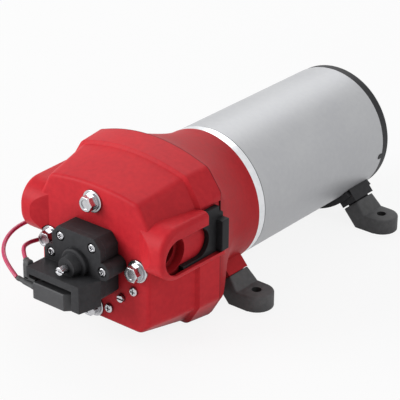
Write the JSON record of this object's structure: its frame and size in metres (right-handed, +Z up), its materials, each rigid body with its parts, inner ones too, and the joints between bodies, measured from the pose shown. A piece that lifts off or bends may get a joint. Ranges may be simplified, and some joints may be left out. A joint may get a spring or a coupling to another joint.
{
  "type": "diaphragm water pump",
  "caption": "Diaphragm water pump with a snap-in hose port on each side, a pressure switch on its head, a round electric motor and rubber mounting feet.",
  "frame": {"origin": "centre of the four mounting holes, on the plane under the rubber feet", "axes": "+Z up, away from the surface that the pump is screwed to; +Y along the motor's shaft from the pressure switch at the front to the motor's rear cap; +X to the right hand port seen from the front"},
  "size_m": [0.1235, 0.2534, 0.1],
  "materials": {
    "housing_red": "moulded, satin gloss red",
    "bell_red": "cast, painted red",
    "motor_silver": "fine brushed, bare",
    "turned_alloy": "turned",
    "black_plastic": "fine grain, black",
    "dark_grey_plastic": "fine grain, dark grey",
    "black_rubber": "moulded rubber",
    "zinc_steel": "bright zinc plated",
    "bearing_steel": "ground",
    "shaft_steel": "ground",
    "core_steel": "laminated",
    "ferrite": "sintered",
    "copper_wire": "enamelled wire",
    "copper": "turned copper",
    "brass": "stamped",
    "carbon": "pressed carbon",
    "drive_alloy": "die cast",
    "white_plastic": "natural acetal",
    "red_insulation": "extruded insulation",
    "spring_steel": "drawn wire"
  },
  "bodies": {
    "pump": {"front_housing": "housing_red", "rear_bell": "bell_red", "valve_plate": "black_plastic", "inlet_valves": "black_rubber", "outlet_valve": "black_rubber", "head_seals": "black_rubber", "diaphragm": "black_rubber", "shaft_bearing_outer": "bearing_steel", "motor_front_plate": "turned_alloy", "motor_tube": "motor_silver", "motor_rear_cap": "black_plastic", "through_bolts": "zinc_steel", "magnets": "ferrite", "brush_holders": "brass", "brush_spring_right": "spring_steel", "brush_spring_left": "spring_steel", "rubber_feet": "black_rubber", "rear_saddle": "black_plastic", "saddle_screws": "zinc_steel", "head_screws": "zinc_steel", "head_screw_washers": "zinc_steel", "bypass_cap_screws": "zinc_steel", "bypass_spring": "spring_steel", "switch_body": "black_plastic", "switch_cover": "black_plastic", "cover_screws": "zinc_steel", "switch_diaphragm": "black_rubber", "lever_pin": "shaft_steel", "switch_spring": "spring_steel", "snap_switch": "dark_grey_plastic", "snap_terminals": "brass", "terminal_boots": "black_rubber", "switch_lead_outer": "red_insulation", "switch_lead_inner": "red_insulation", "lead_grommet": "black_rubber"},
    "rotor": {"motor_shaft": "shaft_steel", "armature_core": "core_steel", "armature_winding": "copper_wire", "commutator": "copper", "shaft_bearing_inner": "bearing_steel", "shaft_bearing_balls": "bearing_steel", "eccentric_hub": "drive_alloy", "eccentric_screw": "zinc_steel", "drive_bearing_inner": "bearing_steel", "drive_bearing_balls": "bearing_steel"},
    "wobble_drive": {"wobble_plate": "drive_alloy", "drive_bearing_outer": "bearing_steel", "pistons": "white_plastic", "piston_screws": "zinc_steel"},
    "clip_right": {"port_clip_right": "black_plastic"},
    "clip_left": {"port_clip_left": "black_plastic"},
    "pressure_plunger": {"switch_plunger": "white_plastic"},
    "lever": {"switch_lever": "spring_steel"},
    "button": {"snap_button": "white_plastic"},
    "pressure_adjuster": {"adjusting_screw": "zinc_steel"},
    "bypass_screw": {"bypass_adjuster": "zinc_steel"},
    "poppet": {"bypass_poppet": "white_plastic"},
    "right_brush": {"brush_right": "carbon"},
    "left_brush": {"brush_left": "carbon"}
  },
  "joints": [
    {"name": "rotor_spin", "type": "hinge", "parent": "pump", "child": "rotor", "pos_m": [0, -0.047, 0.047], "axis": [0, 1, 0], "continuous": true, "deforming": ["diaphragm"]},
    {"name": "wobble_turn", "type": "hinge", "parent": "rotor", "child": "wobble_drive", "pos_m": [0, -0.093, 0.047], "axis": [0, 0.9981, 0.061], "continuous": true, "deforming": ["diaphragm"]},
    {"name": "clip_right_slide", "type": "slide", "parent": "pump", "child": "clip_right", "axis": [0, -1, 0], "range_m": [0, 0.011]},
    {"name": "clip_left_slide", "type": "slide", "parent": "pump", "child": "clip_left", "axis": [0, -1, 0], "range_m": [0, 0.011]},
    {"name": "plunger_slide", "type": "slide", "parent": "pump", "child": "pressure_plunger", "axis": [0, -1, 0], "range_m": [0, 0.0004], "stiffness_N_per_m": 2000, "springref_m": -0.0005, "deforming": ["switch_spring"]},
    {"name": "lever_swing", "type": "hinge", "parent": "pump", "child": "lever", "pos_m": [0, -0.1518, 0.0566], "axis": [-1, 0, 0], "range_deg": [0, 2.39], "deforming": ["switch_spring"]},
    {"name": "button_press", "type": "slide", "parent": "pump", "child": "button", "axis": [0, -1, 0], "range_m": [0, 0.00108]},
    {"name": "poppet_lift", "type": "slide", "parent": "pump", "child": "poppet", "axis": [0, -1, 0], "range_m": [0, 0.0015], "stiffness_N_per_m": 800, "springref_m": -0.002, "deforming": ["bypass_spring"]},
    {"name": "pressure_adjuster_turn", "type": "hinge", "parent": "pump", "child": "pressure_adjuster", "pos_m": [0, -0.1688, 0.047], "axis": [0, 1, 0], "range_deg": [-720, 720]},
    {"name": "bypass_adjuster_turn", "type": "hinge", "parent": "pump", "child": "bypass_screw", "pos_m": [0.0199, -0.1434, 0.0268], "axis": [0, 1, 0], "range_deg": [-720, 720]},
    {"name": "right_brush_slide", "type": "slide", "parent": "pump", "child": "right_brush", "axis": [1, 0, 0], "range_m": [0, 0.003], "stiffness_N_per_m": 150, "springref_m": -0.006, "deforming": ["brush_spring_right"]},
    {"name": "left_brush_slide", "type": "slide", "parent": "pump", "child": "left_brush", "axis": [-1, 0, 0], "range_m": [0, 0.003], "stiffness_N_per_m": 150, "springref_m": -0.006, "deforming": ["brush_spring_left"]}
  ],
  "couplings": [
    {"joint": "wobble_turn", "follows": "rotor_spin", "ratio": -1},
    {"joint": "lever_swing", "follows": "plunger_slide", "rad_per_m": 104.17},
    {"joint": "button_press", "follows": "plunger_slide", "ratio": 2.7083}
  ]
}
